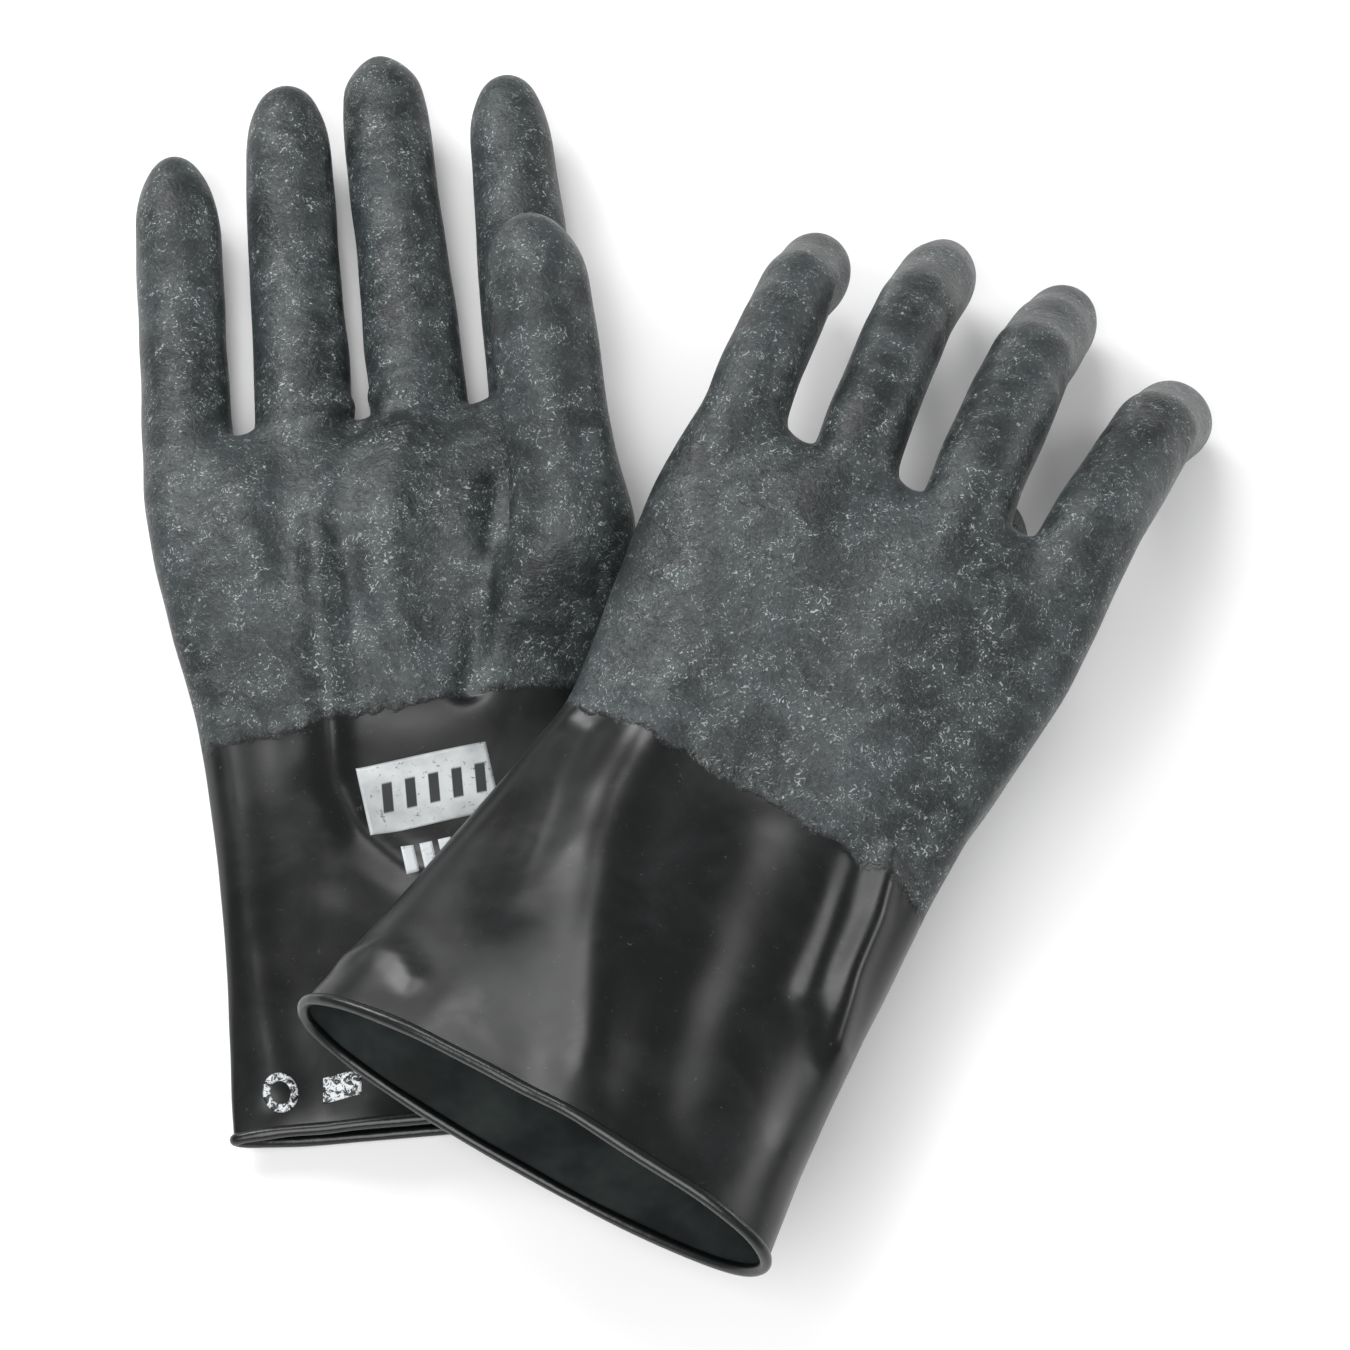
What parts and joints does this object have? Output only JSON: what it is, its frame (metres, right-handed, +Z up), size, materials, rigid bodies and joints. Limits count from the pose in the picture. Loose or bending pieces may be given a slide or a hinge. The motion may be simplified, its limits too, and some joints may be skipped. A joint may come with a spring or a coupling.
{
  "type": "pair of dipped rubber gauntlet gloves",
  "caption": "Black dipped rubber gauntlet gloves with a rough grip hand and a smooth cuff, one lying over the other, with bending fingers, thumbs and cuffs.",
  "frame": {"origin": "bottom centre of the box round the pair, on the table", "axes": "+Z up from the table, +Y from the cuffs towards the fingertips"},
  "size_m": [0.2641, 0.3288, 0.0698],
  "materials": {
    "rough_rubber": "rough mottled grip, matt with small pale flecks",
    "smooth_rubber": "smooth, with a soft satin shine",
    "bead_rubber": "smooth, satin",
    "silver_ink": "printed silver ink, satin",
    "white_ink": "printed pale ink, worn"
  },
  "bodies": {
    "right_palm": {"right_palm": "rough_rubber", "right_wrist_fold": "smooth_rubber", "right_little_root_fold": "rough_rubber", "right_ring_root_fold": "rough_rubber", "right_middle_root_fold": "rough_rubber", "right_index_root_fold": "rough_rubber", "right_thumb_root_fold": "rough_rubber"},
    "right_cuff": {"right_cuff": "smooth_rubber", "right_cuff_bead": "bead_rubber", "print_patch": "silver_ink", "print_bars": "white_ink", "size_ring": "white_ink"},
    "right_little_base": {"right_little_base": "rough_rubber", "right_little_mid_fold": "rough_rubber"},
    "right_little_tip": {"right_little_tip": "rough_rubber"},
    "right_ring_base": {"right_ring_base": "rough_rubber", "right_ring_mid_fold": "rough_rubber"},
    "right_ring_tip": {"right_ring_tip": "rough_rubber"},
    "right_middle_base": {"right_middle_base": "rough_rubber", "right_middle_mid_fold": "rough_rubber"},
    "right_middle_tip": {"right_middle_tip": "rough_rubber"},
    "right_index_base": {"right_index_base": "rough_rubber", "right_index_mid_fold": "rough_rubber"},
    "right_index_tip": {"right_index_tip": "rough_rubber"},
    "right_thumb_base": {"right_thumb_base": "rough_rubber", "right_thumb_mid_fold": "rough_rubber"},
    "right_thumb_tip": {"right_thumb_tip": "rough_rubber"},
    "left_palm": {"left_palm": "rough_rubber", "left_wrist_fold": "smooth_rubber", "left_little_root_fold": "rough_rubber", "left_ring_root_fold": "rough_rubber", "left_middle_root_fold": "rough_rubber", "left_index_root_fold": "rough_rubber", "left_thumb_root_fold": "rough_rubber"},
    "left_cuff": {"left_cuff": "smooth_rubber", "left_cuff_bead": "bead_rubber"},
    "left_little_base": {"left_little_base": "rough_rubber", "left_little_mid_fold": "rough_rubber"},
    "left_little_tip": {"left_little_tip": "rough_rubber"},
    "left_ring_base": {"left_ring_base": "rough_rubber", "left_ring_mid_fold": "rough_rubber"},
    "left_ring_tip": {"left_ring_tip": "rough_rubber"},
    "left_middle_base": {"left_middle_base": "rough_rubber", "left_middle_mid_fold": "rough_rubber"},
    "left_middle_tip": {"left_middle_tip": "rough_rubber"},
    "left_index_base": {"left_index_base": "rough_rubber", "left_index_mid_fold": "rough_rubber"},
    "left_index_tip": {"left_index_tip": "rough_rubber"},
    "left_thumb_base": {"left_thumb_base": "rough_rubber", "left_thumb_mid_fold": "rough_rubber"},
    "left_thumb_tip": {"left_thumb_tip": "rough_rubber"}
  },
  "joints": [
    {"name": "right_wrist", "type": "hinge", "parent": "right_palm", "child": "right_cuff", "pos_m": [-0.06164, -0.01753, 0.014], "axis": [-0.9877, -0.1564, 0], "range_deg": [0, 5], "stiffness_Nm_per_rad": 0.3, "deforming": ["right_wrist_fold"]},
    {"name": "right_little_root", "type": "hinge", "parent": "right_palm", "child": "right_little_base", "pos_m": [-0.11806, 0.06968, 0.01], "axis": [0.9969, 0.0785, 0], "range_deg": [0, 60], "stiffness_Nm_per_rad": 0.05, "deforming": ["right_little_root_fold"]},
    {"name": "right_little_mid", "type": "hinge", "parent": "right_little_base", "child": "right_little_tip", "pos_m": [-0.12033, 0.0986, 0.01152], "axis": [0.9969, 0.0785, 0], "range_deg": [0, 51], "stiffness_Nm_per_rad": 0.05, "deforming": ["right_little_mid_fold"]},
    {"name": "right_ring_root", "type": "hinge", "parent": "right_palm", "child": "right_ring_base", "pos_m": [-0.08978, 0.07416, 0.01], "axis": [0.9969, 0.0785, 0], "range_deg": [0, 60], "stiffness_Nm_per_rad": 0.05, "deforming": ["right_ring_root_fold"]},
    {"name": "right_ring_mid", "type": "hinge", "parent": "right_ring_base", "child": "right_ring_tip", "pos_m": [-0.09271, 0.11136, 0.01196], "axis": [0.9969, 0.0785, 0], "range_deg": [0, 51], "stiffness_Nm_per_rad": 0.05, "deforming": ["right_ring_mid_fold"]},
    {"name": "right_middle_root", "type": "hinge", "parent": "right_palm", "child": "right_middle_base", "pos_m": [-0.06208, 0.07858, 0.01], "axis": [0.9914, 0.1305, 0], "range_deg": [0, 60], "stiffness_Nm_per_rad": 0.05, "deforming": ["right_middle_root_fold"]},
    {"name": "right_middle_mid", "type": "hinge", "parent": "right_middle_base", "child": "right_middle_tip", "pos_m": [-0.06729, 0.11814, 0.01209], "axis": [0.9914, 0.1305, 0], "range_deg": [0, 51], "stiffness_Nm_per_rad": 0.05, "deforming": ["right_middle_mid_fold"]},
    {"name": "right_index_root", "type": "hinge", "parent": "right_palm", "child": "right_index_base", "pos_m": [-0.03343, 0.0831, 0.01], "axis": [0.9954, 0.0958, 0], "range_deg": [0, 30], "stiffness_Nm_per_rad": 0.05, "deforming": ["right_index_root_fold"]},
    {"name": "right_index_mid", "type": "hinge", "parent": "right_index_base", "child": "right_index_tip", "pos_m": [-0.03681, 0.1182, 0.01123], "axis": [0.9954, 0.0958, 0], "range_deg": [0, 25.5], "stiffness_Nm_per_rad": 0.05, "deforming": ["right_index_mid_fold"]},
    {"name": "right_thumb_root", "type": "hinge", "parent": "right_palm", "child": "right_thumb_base", "pos_m": [-0.02481, 0.03758, 0.0397], "axis": [0.9877, 0.1564, 0], "range_deg": [-5, 30], "stiffness_Nm_per_rad": 0.05, "deforming": ["right_thumb_root_fold"]},
    {"name": "right_thumb_mid", "type": "hinge", "parent": "right_thumb_base", "child": "right_thumb_tip", "pos_m": [-0.02922, 0.06543, 0.04621], "axis": [0.9877, 0.1564, 0], "range_deg": [0, 35], "stiffness_Nm_per_rad": 0.05, "deforming": ["right_thumb_mid_fold"]},
    {"name": "left_wrist", "type": "hinge", "parent": "left_palm", "child": "left_cuff", "pos_m": [0.0189, -0.0472, 0.0375], "axis": [-0.891, 0.454, 0], "range_deg": [0, 30], "stiffness_Nm_per_rad": 0.3, "deforming": ["left_wrist_fold"]},
    {"name": "left_little_root", "type": "hinge", "parent": "left_palm", "child": "left_little_base", "pos_m": [0.02165, 0.05656, 0.05234], "axis": [-0.9502, 0.3107, -0.0245], "range_deg": [-28, 0], "stiffness_Nm_per_rad": 0.05, "deforming": ["left_little_root_fold"]},
    {"name": "left_little_mid", "type": "hinge", "parent": "left_little_base", "child": "left_little_tip", "pos_m": [0.0304, 0.08257, 0.04284], "axis": [-0.9502, 0.3107, -0.0245], "range_deg": [-25.2, 0], "stiffness_Nm_per_rad": 0.05, "deforming": ["left_little_mid_fold"]},
    {"name": "left_ring_root", "type": "hinge", "parent": "left_palm", "child": "left_ring_base", "pos_m": [0.04715, 0.04356, 0.05234], "axis": [-0.9502, 0.3107, -0.0245], "range_deg": [-28, 0], "stiffness_Nm_per_rad": 0.05, "deforming": ["left_ring_root_fold"]},
    {"name": "left_ring_mid", "type": "hinge", "parent": "left_ring_base", "child": "left_ring_tip", "pos_m": [0.05846, 0.07723, 0.04073], "axis": [-0.9502, 0.3107, -0.0245], "range_deg": [-25.2, 0], "stiffness_Nm_per_rad": 0.05, "deforming": ["left_ring_mid_fold"]},
    {"name": "left_middle_root", "type": "hinge", "parent": "left_palm", "child": "left_middle_base", "pos_m": [0.07311, 0.03041, 0.05235], "axis": [-0.936, 0.3514, -0.0177], "range_deg": [-28, 0], "stiffness_Nm_per_rad": 0.05, "deforming": ["left_middle_root_fold"]},
    {"name": "left_middle_mid", "type": "hinge", "parent": "left_middle_base", "child": "left_middle_tip", "pos_m": [0.0866, 0.06569, 0.0393], "axis": [-0.936, 0.3514, -0.0177], "range_deg": [-25.2, 0], "stiffness_Nm_per_rad": 0.05, "deforming": ["left_middle_mid_fold"]},
    {"name": "left_index_root", "type": "hinge", "parent": "left_palm", "child": "left_index_base", "pos_m": [0.09975, 0.01691, 0.05236], "axis": [-0.891, 0.454, 0], "range_deg": [-28, 0], "stiffness_Nm_per_rad": 0.05, "deforming": ["left_index_root_fold"]},
    {"name": "left_index_mid", "type": "hinge", "parent": "left_index_base", "child": "left_index_tip", "pos_m": [0.11471, 0.04626, 0.03972], "axis": [-0.891, 0.454, 0], "range_deg": [-25.2, 0], "stiffness_Nm_per_rad": 0.05, "deforming": ["left_index_mid_fold"]},
    {"name": "left_thumb_root", "type": "hinge", "parent": "left_palm", "child": "left_thumb_base", "pos_m": [0.06445, -0.01701, 0.01801], "axis": [0.0236, -0.0818, -0.9964], "range_deg": [0, 35], "stiffness_Nm_per_rad": 0.05, "deforming": ["left_thumb_root_fold"]},
    {"name": "left_thumb_mid", "type": "hinge", "parent": "left_thumb_base", "child": "left_thumb_tip", "pos_m": [0.07063, 0.01118, 0.01584], "axis": [-0.9767, 0.2108, -0.0405], "range_deg": [0, 5], "stiffness_Nm_per_rad": 0.05, "deforming": ["left_thumb_mid_fold"]},
    {"name": "left_lift", "type": "slide", "parent": "right_palm", "child": "left_palm", "axis": [0, 0, 1], "range_m": [0, 0.15]}
  ],
  "couplings": [
    {"joint": "right_little_mid", "follows": "right_little_root", "ratio": 0.85},
    {"joint": "right_ring_mid", "follows": "right_ring_root", "ratio": 0.85},
    {"joint": "right_middle_mid", "follows": "right_middle_root", "ratio": 0.85},
    {"joint": "right_index_mid", "follows": "right_index_root", "ratio": 0.85},
    {"joint": "left_little_mid", "follows": "left_little_root", "ratio": 0.9},
    {"joint": "left_ring_mid", "follows": "left_ring_root", "ratio": 0.9},
    {"joint": "left_middle_mid", "follows": "left_middle_root", "ratio": 0.9},
    {"joint": "left_index_mid", "follows": "left_index_root", "ratio": 0.9}
  ]
}
